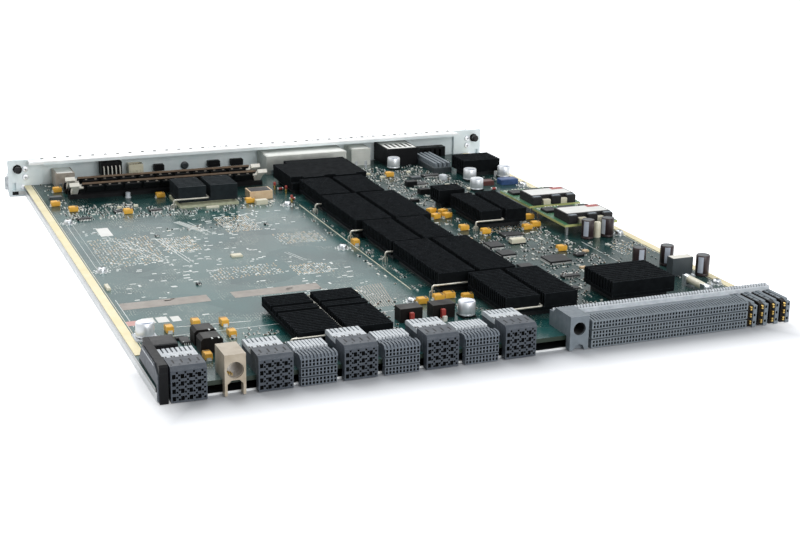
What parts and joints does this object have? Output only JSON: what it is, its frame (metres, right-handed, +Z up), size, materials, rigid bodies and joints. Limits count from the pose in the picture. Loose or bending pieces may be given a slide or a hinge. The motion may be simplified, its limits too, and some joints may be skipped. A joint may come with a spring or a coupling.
{
  "type": "supervisor module",
  "caption": "Flat chassis plug-in module: a circuit board on a tray with a row of black finned heat sinks, tilted memory, a metal front panel and a rear row of backplane connectors.",
  "frame": {"origin": "under the middle of the whole module, on the surface it stands on", "axes": "+Z up out of the board, front panel faces -Y, backplane connectors face +Y"},
  "size_m": [0.3862, 0.445, 0.027],
  "materials": {
    "sheet_steel": "plain rolled sheet",
    "panel_steel": "bright plated sheet",
    "cage_steel": "bright stamped shield",
    "turned_steel": "turned",
    "cast_lever": "cast, satin",
    "board_laminate": "coated glass laminate",
    "black_fins": "black anodised",
    "connector_grey": "moulded, blue grey",
    "guide_beige": "moulded, beige",
    "black_plastic": "moulded, black",
    "white_plastic": "moulded, white",
    "bare_aluminium": "drawn can",
    "sleeve_brown": "shrunk sleeve",
    "film_dip": "dipped resin",
    "cream_ceramic": "fired, unglazed",
    "ferrite": "ground ferrite"
  },
  "bodies": {
    "module": {"carrier_tray": "sheet_steel", "standoffs": "sheet_steel", "board_screws": "sheet_steel", "front_panel": "panel_steel", "end_bracket_left": "panel_steel", "end_bracket_right": "panel_steel", "emi_gasket": "panel_steel", "console_jack": "cage_steel", "ethernet_jack": "cage_steel", "card_cage": "cage_steel", "port_box": "cage_steel", "heat_sink_clips": "cage_steel", "fuse_clips": "cage_steel", "converter_pins": "cage_steel", "lever_pins": "cage_steel", "circuit_board": "board_laminate", "converter_boards": "board_laminate", "memory_modules": "board_laminate", "wide_heat_sink": "black_fins", "row_heat_sink_one": "black_fins", "row_heat_sink_two": "black_fins", "row_heat_sink_three": "black_fins", "row_heat_sink_four": "black_fins", "row_heat_sink_five": "black_fins", "front_heat_sink": "black_fins", "small_heat_sink": "black_fins", "split_heat_sink": "black_fins", "coarse_heat_sink": "black_fins", "low_heat_sink": "black_fins", "processor_heat_sink": "black_fins", "signal_connectors": "connector_grey", "blade_connectors": "connector_grey", "long_connector": "connector_grey", "socket_guide_block": "connector_grey", "pin_guide_block": "guide_beige", "panel_header": "guide_beige", "corner_guide": "black_plastic", "memory_sockets": "black_plastic", "chip_packages": "black_plastic", "relays": "black_plastic", "coils": "black_plastic", "lamp_holder": "black_plastic", "status_lamp_comb": "black_plastic", "screw_ferrules": "black_plastic", "contact_wafers": "black_plastic", "can_capacitors": "bare_aluminium", "radial_capacitors": "sleeve_brown", "film_capacitor": "film_dip", "fuse": "cream_ceramic", "oscillator": "cream_ceramic", "processor_package": "cream_ceramic", "converter_cores": "ferrite"},
    "lever_left": {"ejector_lever_left": "cast_lever"},
    "lever_right": {"ejector_lever_right": "cast_lever"},
    "screw_left": {"captive_screw_left": "turned_steel"},
    "screw_right": {"captive_screw_right": "turned_steel"},
    "latch_front_left": {"memory_latch_front_left": "white_plastic"},
    "latch_front_right": {"memory_latch_front_right": "white_plastic"},
    "latch_rear_left": {"memory_latch_rear_left": "white_plastic"},
    "latch_rear_right": {"memory_latch_rear_right": "white_plastic"}
  },
  "joints": [
    {"name": "ejector_left", "type": "hinge", "parent": "module", "child": "lever_left", "pos_m": [0.1879, -0.218, 0.0081], "axis": [0, 0, 1], "range_deg": [0, 80]},
    {"name": "captive_screw_left_turn", "type": "hinge", "parent": "module", "child": "screw_left", "pos_m": [0.185, -0.21, 0.0206], "axis": [0, 1, 0], "continuous": true},
    {"name": "latch_front_left_swing", "type": "hinge", "parent": "module", "child": "latch_front_left", "pos_m": [0.1527, -0.17564, 0.01195], "axis": [0, 0.6157, -0.788], "range_deg": [0, 28]},
    {"name": "latch_rear_left_swing", "type": "hinge", "parent": "module", "child": "latch_rear_left", "pos_m": [0.1527, -0.15764, 0.01195], "axis": [0, 0.6157, -0.788], "range_deg": [0, 28]},
    {"name": "ejector_right", "type": "hinge", "parent": "module", "child": "lever_right", "pos_m": [-0.1879, -0.218, 0.0081], "axis": [0, 0, -1], "range_deg": [0, 80]},
    {"name": "captive_screw_right_turn", "type": "hinge", "parent": "module", "child": "screw_right", "pos_m": [-0.185, -0.21, 0.0206], "axis": [0, 1, 0], "continuous": true},
    {"name": "latch_front_right_swing", "type": "hinge", "parent": "module", "child": "latch_front_right", "pos_m": [0.0167, -0.17564, 0.01195], "axis": [0, -0.6157, 0.788], "range_deg": [0, 28]},
    {"name": "latch_rear_right_swing", "type": "hinge", "parent": "module", "child": "latch_rear_right", "pos_m": [0.0167, -0.15764, 0.01195], "axis": [0, -0.6157, 0.788], "range_deg": [0, 28]}
  ]
}
